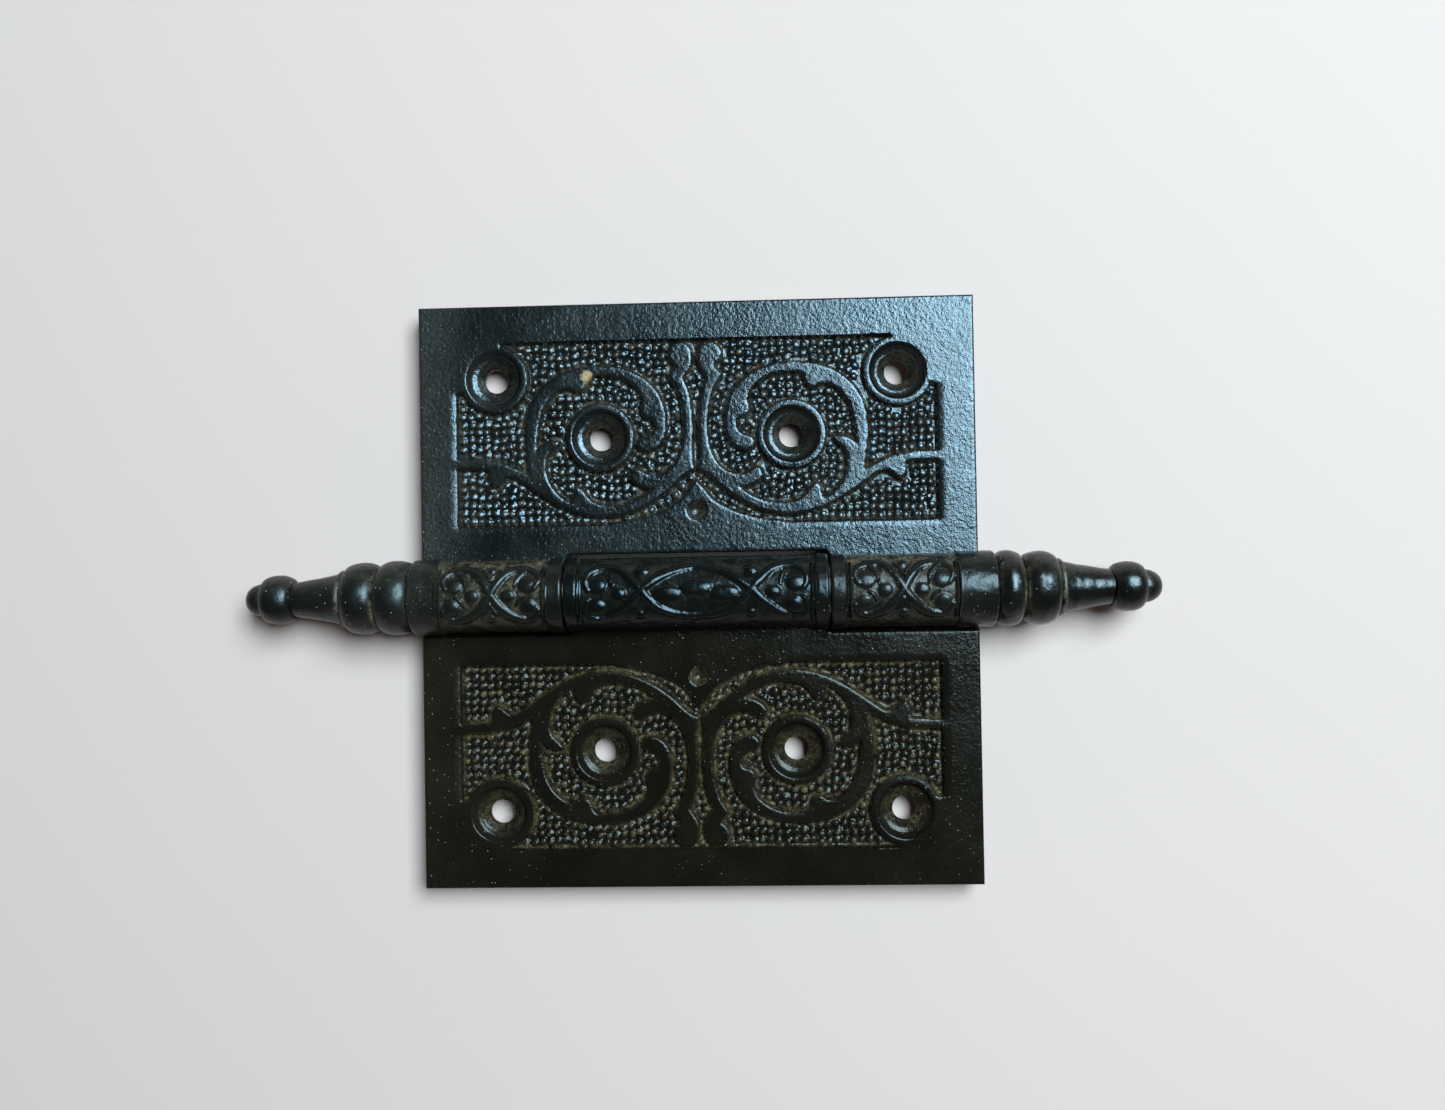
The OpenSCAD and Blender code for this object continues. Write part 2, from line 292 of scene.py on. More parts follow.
def oiledSteel(name):
    # Turned steel rod gone grey-brown under old oil: metal with fine turning rings and soft dark staining.
    material, tree, shader = newMaterial(name)
    place = addNode(tree, "ShaderNodeTexCoord").outputs["Object"]
    stain = addNode(tree, "ShaderNodeTexNoise", {"Scale": perMetre(5), "Detail": 6.0, "Roughness": 0.65},
                    {"Vector": place}).outputs["Fac"]
    rings = addNode(tree, "ShaderNodeTexWave", {"bands_direction": "X", "Scale": perMetre(0.35) / 6.28,
                    "Distortion": 1.5, "Detail": 2.0}, {"Vector": place}).outputs["Fac"]
    tree.links.new(mixColour(tree, ramp(tree, stain, 0.35, 0.68), linear("#a7a39c"), linear("#5d5248")),
                   shader.inputs["Base Color"])
    tree.links.new(addNode(tree, "ShaderNodeMapRange", {3: 0.28, 4: 0.55}, {0: stain}).outputs[0],
                   shader.inputs["Roughness"])
    tree.links.new(addNode(tree, "ShaderNodeBump", {"Strength": 0.25, "Distance": 0.00002},
                           {"Height": rings}).outputs[0], shader.inputs["Normal"])
    shader.inputs["Metallic"].default_value = 1.0
    return material


def studioPaper(name, tint):
    # Matt white card: near-white with a very faint mottle.
    material, tree, shader = newMaterial(name)
    place = addNode(tree, "ShaderNodeTexCoord").outputs["Object"]
    cloud = addNode(tree, "ShaderNodeTexNoise", {"Scale": 12.0, "Detail": 3.0}, {"Vector": place})
    darker = tuple(0.985 * v for v in linear(tint))
    tree.links.new(mixColour(tree, cloud.outputs["Fac"], linear(tint), darker), shader.inputs["Base Color"])
    shader.inputs["Roughness"].default_value = 0.9
    return material


japan = {
    "film": "#0c0c0a", "thin": "#15130f", "rough": 0.21, "specular": 0.5,
    "specularTint": (0.9, 1.0, 1.07, 1.0),
    "peelSize": 0.6, "peelDepth": 0.16, "peelStrength": 0.8, "gritDepth": 0.03, "gritStrength": 0.5,
    "dustAndPaintedLight": "#5c5548", "dustAndPaintedLightAmount": 0.45,
    "hazeAlong": (-36, -54),     # a thin haze has settled from the first x to the second, in millimetres
    "settled": 0.0, "hazeRough": 0.13,
    "speck": "#cfc7b4", "speckSpacing": 0.9, "speckRadii": (0.05, 0.135), "speckAmount": 0.7,
    "marks": (), "markUneven": 1.6,  # each mark is x, y, radius and colour
}
plainTint = (1.0, 1.0, 1.0, 1.0)
upperJapan = japannedIron("black japan on two-knuckle leaf", japan | {
    "dustAndPaintedLightAmount": 0.38, "dustAndPaintedLight": "#7a6248", "settled": 0.07, "peelStrength": 0.7, "speckSpacing": 0.75,
    "marks": (
        (-19.7, 40.0, 1.0, "#9c7c58"), (-19.3, 38.4, 0.75, "#8a5420"), (-16.6, 31.4, 0.6, "#a08a58"),
        (16.4, 30.8, 0.6, "#8b7a55"), (19.3, 28.6, 0.5, "#7d4f2c"), (49.3, 20.6, 1.1, "#3c4043"))})
# the one-knuckle leaf's dimmer reflections are partly its dustier film and partly painted shade, standing in for
# that leaf lying tilted away from the window
lowerJapan = japannedIron("black japan on one-knuckle leaf", japan | {
    "film": "#110d08", "thin": "#17120c", "dustAndPaintedLightAmount": 0.55, "rough": 0.16, "specular": 0.17,
    "peelStrength": 0.45, "speckSpacing": 0.7, "speckAmount": 0.9,
    "specularTint": (1.0, 0.93, 0.84, 1.0), "settled": 0.02, "dustAndPaintedLight": "#806848"})
barrelJapan = japannedIron("black japan on outer knuckles", japan | {
    "dustAndPaintedLightAmount": 0.45, "speckSpacing": 0.6, "peelStrength": 0.35, "specular": 0.22, "rough": 0.23,
    "dustAndPaintedLight": "#78654c", "settled": 0.03, "specularTint": plainTint})
centreJapan = japannedIron("black japan on centre knuckle", japan | {
    "dustAndPaintedLightAmount": 0.12, "peelStrength": 0.35, "specular": 0.22, "film": "#090907", "thin": "#0f0e0b"})
tipJapan = japannedIron("black japan on tips", japan | {
    "dustAndPaintedLightAmount": 0.6, "dustAndPaintedLight": "#75634c", "peelStrength": 0.35, "specular": 0.3, "rough": 0.2,
    "specularTint": plainTint})
steel = oiledSteel("oiled turned steel")


# leaf plates
print("stage 3: leaf plates")
panel = {
    "halfLength": 43.8, "near": 12.8, "far": 46.3,  # edges of the sunk panel
    "depth": 1.1,
    "wall": 0.6,            # width of the sloping wall round the ground
    "crown": 0.08,          # how far the scrolls' edges fall away from their backs
    "spread": 0.42,         # how far the scrolls' walls stand outside their outline
    "bossRadius": 6.4,
    "cornerFrom": (35.5, 37.2),  # the border fills each outer corner beyond this
    "pebbleSpacing": 1.5, "pebbleRadius": 0.76, "pebbleHeight": 0.5, "jitter": 0.22,
    "settleTurns": 40,
    "dimple": (0.0, 15.1), "dimpleRadius": 1.9, "dimpleDepth": 1.2,
    "lip": 0.7,             # how far the edge beside the other leaf's knuckle slopes in under it
    "step": 0.23,           # mesh spacing inside the panel
    "dense": (44.2, 12.4, 46.8),  # the part with that spacing: half length, nearest and farthest line
}

# Flush scrollwork of one half panel in millimetres: x from the centre line, y from the pin's axis
scrollCurves = {
    "tailTop": [
        (45, 24.9), (42, 24.8), (39.5, 24.8), (37, 24.4), (35, 23.9), (33, 23), (31.2, 22.1), (30.3, 21.7)],
    "spiralOutside": [
        (30.3, 21.7), (30.7, 24.5), (31.1, 27.5), (31.1, 30.5), (30.8, 33), (30, 35.3), (28.7, 37.3),
        (26.8, 39.1), (24.5, 40.4), (21.5, 41.3), (18, 41.6), (14.5, 41.3), (11.5, 40.4), (9, 38.9),
        (7, 36.7), (5.9, 34), (5.6, 31.3), (5.9, 28.7), (7, 27), (8.6, 26.3), (9.9, 26.4), (10.5, 27.3),
        (10.1, 28.2)],
    "spiralInside": [(10.1, 28.2), (8.7, 28.6), (7.6, 29.6), (7.2, 30.9), (7.7, 32), (9, 32.3)],
    "spiralBack": [
        (9, 32.3), (9.7, 33.3), (9.4, 35.3), (10.2, 37.3), (12, 38.9), (14.2, 39.9), (17, 40.3),
        (18.9, 40.2), (19.9, 39.4), (20.4, 38), (21, 37.4)],
    "upperLeafTip": [
        (21, 37.4), (21.9, 37.4), (22.7, 37.9), (24, 38), (25.6, 37.3), (27, 36), (28.3, 33.8), (29, 31),
        (29.3, 28.5), (29.5, 26.1)],
    "sideLeafTip": [(29.5, 26.1), (28.3, 27.3), (26.8, 28), (25.3, 27.8)],
    "sideHollow": [
        (25.3, 27.8), (26, 27), (27.2, 25.8), (27.7, 24.2), (27.6, 22), (26.8, 20), (25.5, 18.3),
        (24.2, 17.2), (22.9, 16.8)],
    "lowerLeafTip": [(22.9, 16.8), (22.6, 17.8), (22.3, 19.2), (21.8, 19.5)],
    "lowerHollow": [
        (21.8, 19.5), (21, 19), (20.2, 17.9), (19.2, 16.9), (17.5, 16.2), (15, 16), (12.5, 16.4),
        (10, 17.5), (8.5, 18.5), (7.2, 19.5)],
    "lowerCurl": [
        (7.2, 19.5), (8.7, 19.4), (10.3, 19.9), (11.5, 20.7), (11.9, 21.7), (11.5, 22.5), (10.8, 22.6),
        (10, 22.2), (9.2, 21.7), (7.8, 21.4), (6.3, 21.7), (5, 22.4), (3.9, 23.5), (3, 25), (2.3, 27),
        (2, 29.5), (2.05, 32), (2.35, 34.5), (2.8, 36.3), (3.5, 38), (4.3, 39.2), (4.7, 39.9)],
    "stemKnob": [(4.7, 39.9), (4, 40.6), (3.4, 41.4), (3.5, 42)],
    "knobSide": [
        (3.5, 42), (4.2, 42.5), (4.65, 43.4), (4.6, 44.4), (4, 45.2), (3, 45.6), (1.9, 45.5), (1.1, 44.9),
        (0.8, 44)],
    "stemSlot": [(0.8, 44), (0.7, 42.6), (1, 41.4), (1.7, 40.3), (2.4, 39.2)],
    "stemSide": [
        (2.4, 39.2), (1.8, 38), (1.2, 36), (0.9, 33.5), (0.7, 31), (0.7, 29), (0.9, 26.5), (0.8, 24),
        (0.5, 22.7)],
    "scrollFoot": [
        (0.5, 22.7), (1.5, 22.3), (2.5, 21.6), (3.7, 20.5), (4.9, 19.3), (6.3, 18.2), (7.9, 17.1), (10, 16),
        (12.5, 15), (15, 14.5), (17.5, 14.4), (20, 14.7), (22.5, 15.4), (25, 16.5), (27.5, 17.9),
        (30, 19.6), (32, 21), (33.5, 21.9), (35, 21.8), (36.3, 20.8), (37.2, 20.3)],
    "tailEnd": [(37.2, 20.3), (37.8, 21.4), (37.8, 22.8), (38.2, 23.5)],
    "tailFoot": [(38.2, 23.5), (40, 23.6), (45, 23.7)],
    "tailRoot": [(45, 23.7), (45, 24.9)],
}
borderRise = {  # rounded rise of the border round the dimple
    "edge": [(15.5, 12.6), (12, 13.1), (8, 14.2), (5.3, 15.4), (2.8, 17), (1, 19.2), (0, 20.2)],
    "rest": [(0, 20.2), (-0.5, 20.2), (-0.5, 11), (15.5, 11), (15.5, 12.6)],
}


def outlineOf(curves):
    # one closed outline from curves that follow each other
    return np.concatenate([smoothCurve(c, 4) for c in curves.values()])


def groundDistance(points):
    # how far inside the sunk ground a point lies: the least of its distances to the panel's edge, the
    # scrolls, the border's rise, the filled corners and the bosses; negative on what stands flush
    p = np.column_stack([np.abs(points[:, 0]), points[:, 1]])
    edge = np.minimum(panel["halfLength"] - p[:, 0],
                      np.minimum(p[:, 1] - panel["near"], panel["far"] - p[:, 1]))
    corner = np.maximum(panel["cornerFrom"][0] - p[:, 0], panel["cornerFrom"][1] - p[:, 1])
    boss = np.hypot(p[:, None, 0] - screwHoles[1::2, 0], p[:, None, 1] - screwHoles[1::2, 1]).min(1)
    scroll = signedDistance(p, outlineOf(scrollCurves))
    rise = signedDistance(p, outlineOf(borderRise))
    return np.minimum.reduce([edge, corner, boss - panel["bossRadius"],
                              scroll - panel["spread"], rise - panel["spread"]])


rasterStep = 0.15
rasterX = np.arange(0, 46, rasterStep)
rasterY = np.arange(11, 48, rasterStep)
rasterPoints = np.stack(np.meshgrid(rasterX, rasterY), -1).reshape(-1, 2)
raster = groundDistance(rasterPoints).reshape(len(rasterY), len(rasterX))


def groundAt(x, y):
    # the ground distance read from its raster, with straight-line blending between samples
    u = np.clip(np.abs(x) / rasterStep, 0, len(rasterX) - 1.001)
    v = np.clip((y - rasterY[0]) / rasterStep, 0, len(rasterY) - 1.001)
    i, j = u.astype(int), v.astype(int)
    u, v = u - i, v - j
    return ((raster[j, i] * (1 - u) + raster[j, i + 1] * u) * (1 - v)
            + (raster[j + 1, i] * (1 - u) + raster[j + 1, i + 1] * u) * v)


def scatterPebbles(seed):
    # rows of pebbles: a square grid that is relaxed by pushing neighbours and walls apart
    r = np.random.default_rng(seed)
    gap = panel["pebbleSpacing"]
    x, y = np.meshgrid(np.arange(-43, 43.5, gap), np.arange(13.6, 46, gap))
    p = np.column_stack([x.ravel(), y.ravel()]) + r.normal(0, panel["jitter"], (x.size, 2))
    p = p[groundAt(p[:, 0], p[:, 1]) > 0.2]
    for turn in range(panel["settleTurns"]):
        away = p[:, None] - p[None]
        far = np.sqrt((away**2).sum(2)) + 1e-6
        push = np.clip(gap * 0.98 - far, 0, None) / far
        np.fill_diagonal(push, 0)
        p = p + 0.22 * (away * push[..., None]).sum(1)
        d = groundAt(p[:, 0], p[:, 1])
        slope = np.column_stack([groundAt(p[:, 0] + 0.1, p[:, 1]) - groundAt(p[:, 0] - 0.1, p[:, 1]),
                                 groundAt(p[:, 0], p[:, 1] + 0.1) - groundAt(p[:, 0], p[:, 1] - 0.1)]) / 0.2
        p = p + 0.5 * slope * np.clip(0.82 - d, 0, 0.6)[:, None]
    p = p[groundAt(p[:, 0], p[:, 1]) > 0.5]
    return p, r.uniform(0.88, 1.08, len(p)), r.uniform(0.75, 1.1, len(p)), r.normal(0, 0.22, (len(p), 2))


def pebbleHeight(x, y, pebbles):
    # each pebble is a dome with a flat, leaning back: (1 - far ** 2.6) ** 0.7 * (1 + lean . offset)
    centres, wide, tall, lean = pebbles

    def piece(p):
        away = p[:, None] - centres[None]
        far = (np.abs(away)**2.5).sum(2)**(1 / 2.5) / (panel["pebbleRadius"] * wide)
        dome = tall * np.clip(1 - far**2.6, 0, 1)**0.7
        return (dome * (1 + np.clip((away * lean).sum(2), -0.4, 0.4))).max(1)

    return inChunks(piece, np.column_stack([x, y])) * panel["pebbleHeight"]


def leafSurface(x, y, pebbles, seed):
    # height of the decorated face and its dust and painted light: dust lies thickest along the foot of each wall,
    # and painted highlight sits on the pebble tops and along each wall
    d = groundAt(x, y)
    sunk = smoothStep(-panel["wall"] / 2, panel["wall"] / 2, d)
    crown = -panel["crown"] * smoothStep(-0.75, -0.1, d)
    inPanel = smoothStep(0, 0.3, np.minimum(panel["halfLength"] - np.abs(x),
                                            np.minimum(y - panel["near"], panel["far"] - y)))
    bumps = np.where(d > 0.05, pebbleHeight(x, y, pebbles), 0) * smoothStep(0.1, 0.5, d)
    dimpleFar = np.hypot(x - panel["dimple"][0], y - panel["dimple"][1]) / panel["dimpleRadius"]
    dimple = panel["dimpleDepth"] * np.clip(1 - dimpleFar**1.5, 0, 1)
    height = hinge["face"] - panel["depth"] * sunk + bumps - dimple + crown * inPanel
    height += castWaves(x, y, seed, 9, 0.012) + castWaves(x, y, seed + 1, 2.4, 0.005)
    foot = smoothStep(0.05, 0.3, d) * (1 - smoothStep(0.5, 0.9, d))
    top = np.clip(bumps / panel["pebbleHeight"], 0, 1)
    rim = inPanel * np.exp(-(d / 0.22)**2)
    # painted highlight: the pebble tops and a line along every wall in the panel take the light dust colour where
    # light catches them; foot and dimple terms are real dust
    dustAndPaintedLight = 0.8 * foot * (1 - top) + 0.75 * smoothStep(0.6, 0.95, top) + 0.5 * rim + 0.5 * (dimple > 0.1)
    return height, np.clip(dustAndPaintedLight, 0, 1)


def softEdge(distance, radius=0.45):
    # how far a rounded edge has dropped, by a quarter circle, at a distance in from it
    back = radius - np.clip(distance, 0, radius)
    return radius - np.sqrt(np.clip(radius**2 - back**2, 0, None))


def combLines(low, high, step):
    # evenly spaced lines from low to high
    count = int(round((high - low) / step))
    return np.linspace(low, high, count + 1)


countersink = [  # radius and depth below the face, from the boss down through the hole
    (6.1, 0), (5.7, 0), (5.4, 0), (5.25, 0.02), (5.12, 0.1), (5.0, 0.25), (4.8, 0.55), (4.55, 0.85),
    (4.3, 1.08), (4.1, 1.2), (3.85, 1.27), (3.6, 1.33), (3.4, 1.42), (3.15, 1.62), (2.85, 1.9),
    (2.5, 2.15), (2.28, 2.3), (2.2, 2.45), (2.2, 2.8), (2.2, 3.2)]

gridLines = {  # outside the panel, in millimetres
    "rim": (0, 0.05, 0.14, 0.28, 0.45, 0.9, 1.7, 2.8, 4.1, 5.4),  # in from the rim
    "underKnuckle": (3.9, 5.1, 6.3),                              # from the pin's axis
}
seat = {  # rings round a screw hole, in millimetres
    "square": 6.9,                 # half side of the square of grid that gives way
    "round": 6.55, "turns": 11,    # where the square has become a circle, and the steps on the way
    "collars": (6.45, 6.35, 6.25),
    "holeRim": 2.25,               # only the hole's own rim lies within this
    "dustFrom": 0.9, "dustGain": 0.5, "dustMost": 0.45,
}


def plateMesh(ownSpans, pebbles, seed):
    # The face is a grid of lines, dense over the panel. Round each screw hole a square of the grid gives
    # way to rings that turn from the square's rim into circles and run down the countersink. The rim is
    # carried down as the leaf's sides, and a flat sheet closes the back round the four holes.
    half = hinge["length"] / 2
    rim = np.array(gridLines["rim"])
    panelX = combLines(-panel["dense"][0], panel["dense"][0], panel["step"])
    panelY = combLines(panel["dense"][1], panel["dense"][2], panel["step"])
    xs = np.concatenate([-half + rim, panelX, (half - rim)[::-1]])
    inner = hinge["innerEdge"]
    ys = np.concatenate([gridLines["underKnuckle"], inner + rim[:9], panelY, (hinge["reach"] - rim)[::-1]])
    gridX, gridY = np.meshgrid(xs, ys)
    index = np.arange(gridX.size).reshape(gridX.shape)
    owned = np.zeros(len(xs) - 1, bool)  # columns of cells under the leaf's own knuckles
    for low, high in ownSpans:
        owned |= (xs[:-1] >= low - 1e-6) & (xs[1:] <= high + 1e-6)
    keep = ((ys[1:] + ys[:-1]) / 2 > inner)[:, None] | owned[None]

    points = [np.column_stack([gridX.ravel(), gridY.ravel()])]
    faces = []
    rings = []
    count = gridX.size
    for centre in screwHoles:
        i0, i1 = np.searchsorted(xs, [centre[0] - seat["square"], centre[0] + seat["square"]])
        j0, j1 = np.searchsorted(ys, [centre[1] - seat["square"], centre[1] + seat["square"]])
        keep[j0:j1, i0:i1] = False
        around = np.concatenate([index[j0, i0:i1], index[j0:j1, i1],
                                 index[j1, i1:i0:-1], index[j1:j0:-1, i0]])
        square = points[0][around]
        angle = np.arctan2(square[:, 1] - centre[1], square[:, 0] - centre[0])
        spoke = np.column_stack([np.cos(angle), np.sin(angle)])
        blend = np.linspace(1, 0, seat["turns"])[1:, None, None]
        outer = centre + seat["round"] * spoke
        flat = outer + (square - outer) * blend
        collar = np.array(seat["collars"])[:, None, None]
        sink, down = np.array(countersink).T
        ringPoints = np.concatenate([flat, centre + collar * spoke, centre + sink[:, None, None] * spoke])
        ringIndex = count + np.arange(len(ringPoints) * len(around)).reshape(len(ringPoints), -1)
        count += ringIndex.size
        stack = np.vstack([around[None], ringIndex])
        quads = np.stack([stack[:-1], np.roll(stack[:-1], -1, 1),
                          np.roll(stack[1:], -1, 1), stack[1:]], -1)
        faces.append(quads.reshape(-1, 4))
        points.append(ringPoints.reshape(-1, 2))
        rings.append((len(flat) + len(collar), down, len(around)))

    cells = np.stack([index[:-1, :-1], index[:-1, 1:], index[1:, 1:], index[1:, :-1]], -1)
    faces.insert(0, cells[keep].reshape(-1, 4))
    xy = np.concatenate(points)
    z, dustAndPaintedLight = leafSurface(xy[:, 0], xy[:, 1], pebbles, seed)

    fromOwn = np.zeros(len(xy), bool)
    for low, high in ownSpans:
        fromOwn |= (xy[:, 0] > low - 0.3) & (xy[:, 0] < high + 0.3)
    rimFar = np.minimum.reduce([half - np.abs(xy[:, 0]), hinge["reach"] - xy[:, 1],
                                np.where(fromOwn, 9, xy[:, 1] - inner)])
    z -= softEdge(rimFar)
    start = gridX.size
    for flatRings, down, around in rings:  # countersinks follow their own depth
        total = flatRings + len(down)
        depth = np.repeat(down, around)
        part = slice(start + flatRings * around, start + total * around)
        z[part] = np.maximum(np.where(depth < 0.01, z[part], hinge["face"] - depth), hinge["back"])
        dustAndPaintedLight[part] = np.clip((depth - seat["dustFrom"]) * seat["dustGain"], 0, seat["dustMost"])
        start += total * around

    solid = np.column_stack([xy, z])
    quads = np.concatenate(faces)
    used, quads = np.unique(quads, return_inverse=True)
    quads = quads.reshape(-1, 4)
    solid, dustAndPaintedLight = solid[used], dustAndPaintedLight[used]

    # an edge that no neighbour shares is on the leaf's rim or at the bottom of a hole
    edges = np.concatenate([quads[:, [i, (i + 1) % 4]] for i in range(4)])
    key = edges[:, 0].astype(np.int64) * len(solid) + edges[:, 1]
    back = edges[:, 1].astype(np.int64) * len(solid) + edges[:, 0]
    border = edges[~np.isin(key, back)]
    isHole = solid[border[:, 0], 2] < hinge["back"] + 1e-4
    outerEdges, holeEdges = border[~isHole], border[isHole]

    # the sides, carried down from the rim in three levels
    rimIds = np.unique(outerEdges)
    place = np.full(len(solid), -1)
    place[rimIds] = np.arange(len(rimIds))
    corner = solid[rimIds]
    levels = []
    for height, inset in ((hinge["back"] + 0.4, 0), (hinge["back"] + 0.12, 0.12), (hinge["back"], 0.4)):
        level = corner.copy()
        besideKnuckle = np.abs(level[:, 1] - inner) < 0.02
        level[besideKnuckle, 1] -= panel["lip"] * (hinge["face"] - height) / hinge["thickness"]
        level[:, 0] *= 1 - inset / half
        level[:, 1] *= 1 - inset / hinge["reach"]
        level[:, 2] = height
        levels.append(level)
    walls = []
    above = outerEdges
    for i in range(len(levels)):
        below = len(solid) + i * len(rimIds) + place[outerEdges]
        walls.append(np.column_stack([above[:, 1], above[:, 0], below[:, 0], below[:, 1]]))
        above = below
    solid = np.vstack([solid] + levels)
    dustAndPaintedLight = np.concatenate([dustAndPaintedLight, np.zeros(len(levels) * len(rimIds))])

    # the back: triangles between rim and holes, without those that would close a hole
    sheetEdges = np.vstack([above, holeEdges])
    sheetIds, sheetEdges = np.unique(sheetEdges, return_inverse=True)
    sheetEdges = sheetEdges.reshape(-1, 2)
    flatPoints = [Vector(p) for p in solid[sheetIds, :2].tolist()]
    found = geometry.delaunay_2d_cdt(flatPoints, sheetEdges.tolist(), [], 1, 1e-7)
    triangles = sheetIds[np.array([source[0] for source in found[3]])[np.array(found[2])]]
    fromHoles = np.hypot(solid[triangles, 0][..., None] - screwHoles[:, 0],
                         solid[triangles, 1][..., None] - screwHoles[:, 1])
    inHole = (fromHoles < seat["holeRim"]).all(1).any(1)
    triangles = triangles[~inHole]
    a, b, c = (solid[triangles[:, i], :2] for i in range(3))
    upward = (b - a)[:, 0] * (c - a)[:, 1] - (b - a)[:, 1] * (c - a)[:, 0] > 0
    triangles[upward] = triangles[upward][:, ::-1]
    return solid, [quads, np.concatenate(walls), triangles], dustAndPaintedLight


def flipped(solid, faces):
    # the same plate on the other side of the pin, with its faces turned back outwards
    return solid * [1, -1, 1], [f[:, ::-1] for f in faces]


half = hinge["length"] / 2
ownStart = hinge["centreHalf"] + hinge["knuckleGap"]
solid, faces, dustAndPaintedLight = plateMesh([(-half, -ownStart), (ownStart, half)], scatterPebbles(11), 21)
makePiece("two_knuckle_plate", solid, faces, "frame_leaf", ["two_knuckle_leaf"],
          upperJapan, dustAndPaintedLight)
solid, faces, dustAndPaintedLight = plateMesh([(-hinge["centreHalf"], hinge["centreHalf"])], scatterPebbles(12), 31)
solid, faces = flipped(solid, faces)
makePiece("one_knuckle_plate", solid, faces, "door_leaf", ["one_knuckle_leaf"],
          lowerJapan, dustAndPaintedLight)


# knuckles
print("stage 4: knuckles")
barrel = {
    "sink": 0.3,          # ground of the ornament below the plain bands
    "rise": 0.52,         # height of the ornament above that ground
    "chamfer": 0.45,
    "shift": 0.3,         # how far the ornament sits round the barrel
    "bandSlope": 0.6,     # width of the slope between a plain band and the ground
    "endSteps": 5,        # rings across each end
    "step": 0.2,          # mesh spacing along the pin
    "turns": 200,         # and points round it
}

# Ornament as strokes of (along the pin, round the barrel, half width) and balls with their two radii
sideKnuckle = {
    "centre": 36.4, "halfLength": 9.9,
    "strokes": [
        [(-7.9, 1.2, 0.5), (-8.5, 2.6, 0.6), (-7.9, 4.2, 0.75), (-6.1, 5.2, 0.9), (-4.1, 5.2, 0.95),
         (-2.5, 4.2, 0.9), (-1.1, 2.2, 0.8), (0, 0.2, 0.75), (1.5, -2.0, 0.85), (3.2, -3.8, 0.95),
         (5.0, -4.8, 0.9), (6.8, -4.9, 0.75), (8.1, -4.0, 0.6), (8.5, -2.7, 0.5)],
        [(-5.8, 4.3, 0.6), (-5.0, 3.3, 0.6), (-4.5, 2.2, 0.45), (-4.3, 1.0, 0.2)],
        [(-6.2, -0.3, 0.2), (-5.3, -0.9, 0.4), (-4.8, -1.8, 0.3)],
        [(-1.5, 5.0, 0.2), (-0.7, 3.8, 0.4), (-0.2, 2.6, 0.3)],
        [(-1.2, -3.4, 0.3), (-0.4, -2.4, 0.4), (0, -1.5, 0.3)],
        [(9.2, -5.5, 0.22), (9.2, 0, 0.3), (9.2, 5.5, 0.22)],
        [(9.85, -5.5, 0.15), (9.85, 0, 0.2), (9.85, 5.5, 0.15)]],
    "balls": [(6.6, 2.0, 1.85, 1.75), (6.9, -2.5, 1.6, 1.6), (3.2, -0.1, 1.3, 1.3), (0, 5.2, 0.95, 0.85),
              (0, -4.6, 0.9, 0.9)],
}
centreKnuckle = {
    "centre": 0, "halfLength": 21.2,
    "strokes": [
        [(-15.8, -4.2, 0.45), (-14.0, -3.4, 0.75), (-12.1, -1.9, 0.85), (-9.9, 0.4, 0.85), (-7.1, 2.7, 0.9),
         (-4.4, 4.2, 0.9), (-1.6, 5.1, 0.85), (0, 5.3, 0.85), (1.6, 5.1, 0.85), (4.4, 4.2, 0.9),
         (7.1, 2.7, 0.9), (9.9, 0.4, 0.85), (12.1, -1.9, 0.85), (14.0, -3.4, 0.75), (15.8, -4.2, 0.45)],
        [(-18.9, 0.6, 0.45), (-19.5, 2.0, 0.6), (-18.9, 3.9, 0.7), (-17.3, 5.1, 0.8), (-15.2, 5.3, 0.85),
         (-13.2, 4.4, 0.85), (-11.6, 2.6, 0.8), (-9.9, 0.8, 0.75), (-8.3, -1.1, 0.75), (-6.5, -2.9, 0.8),
         (-3.6, -4.2, 0.8), (0, -4.7, 0.8)],
        [(-19.0, -1.2, 0.4), (-19.6, -2.8, 0.5), (-18.9, -4.3, 0.5), (-17.3, -5.0, 0.45)],
        [(-15.4, 3.6, 0.5), (-15.0, 2.2, 0.45), (-14.9, 1.2, 0.2)],
        [(-20.4, -5.5, 0.22), (-20.4, 0, 0.3), (-20.4, 5.5, 0.22)],
        [(-21.0, -5.5, 0.15), (-21.0, 0, 0.2), (-21.0, 5.5, 0.15)]],
    "balls": [(17.5, 1.7, 1.75, 1.65), (17.4, -2.8, 1.6, 1.6), (13.6, -0.2, 1.4, 1.4), (9.6, 4.6, 1.3, 1.0),
              (5.1, -0.3, 2.7, 1.7), (4.9, -0.5, 1.5, 0.8), (0, 1.0, 2.9, 1.7), (9.8, -4.2, 0.9, 0.9)],
}


def strokeRelief(points, strokes):
    # height of round-backed strokes: the square root of 1 - (distance / half width) squared
    relief = np.zeros(len(points))
    for stroke in strokes:
        line = np.vstack([smoothCurve(stroke, 8), stroke[-1]])
        a, side = line[:-1, :2], np.diff(line[:, :2], axis=0)
        squared = (side**2).sum(1) + 1e-12

        def piece(p):
            away = p[:, None] - a[None]
            t = np.clip((away * side).sum(2) / squared, 0, 1)
            far = np.sqrt(((away - t[..., None] * side)**2).sum(2))
            wide = line[:-1, 2] + t * np.diff(line[:, 2])
            return np.sqrt(np.clip(1 - (far / wide)**2, 0, 1)).max(1)

        relief = np.maximum(relief, inChunks(piece, points))
    return relief


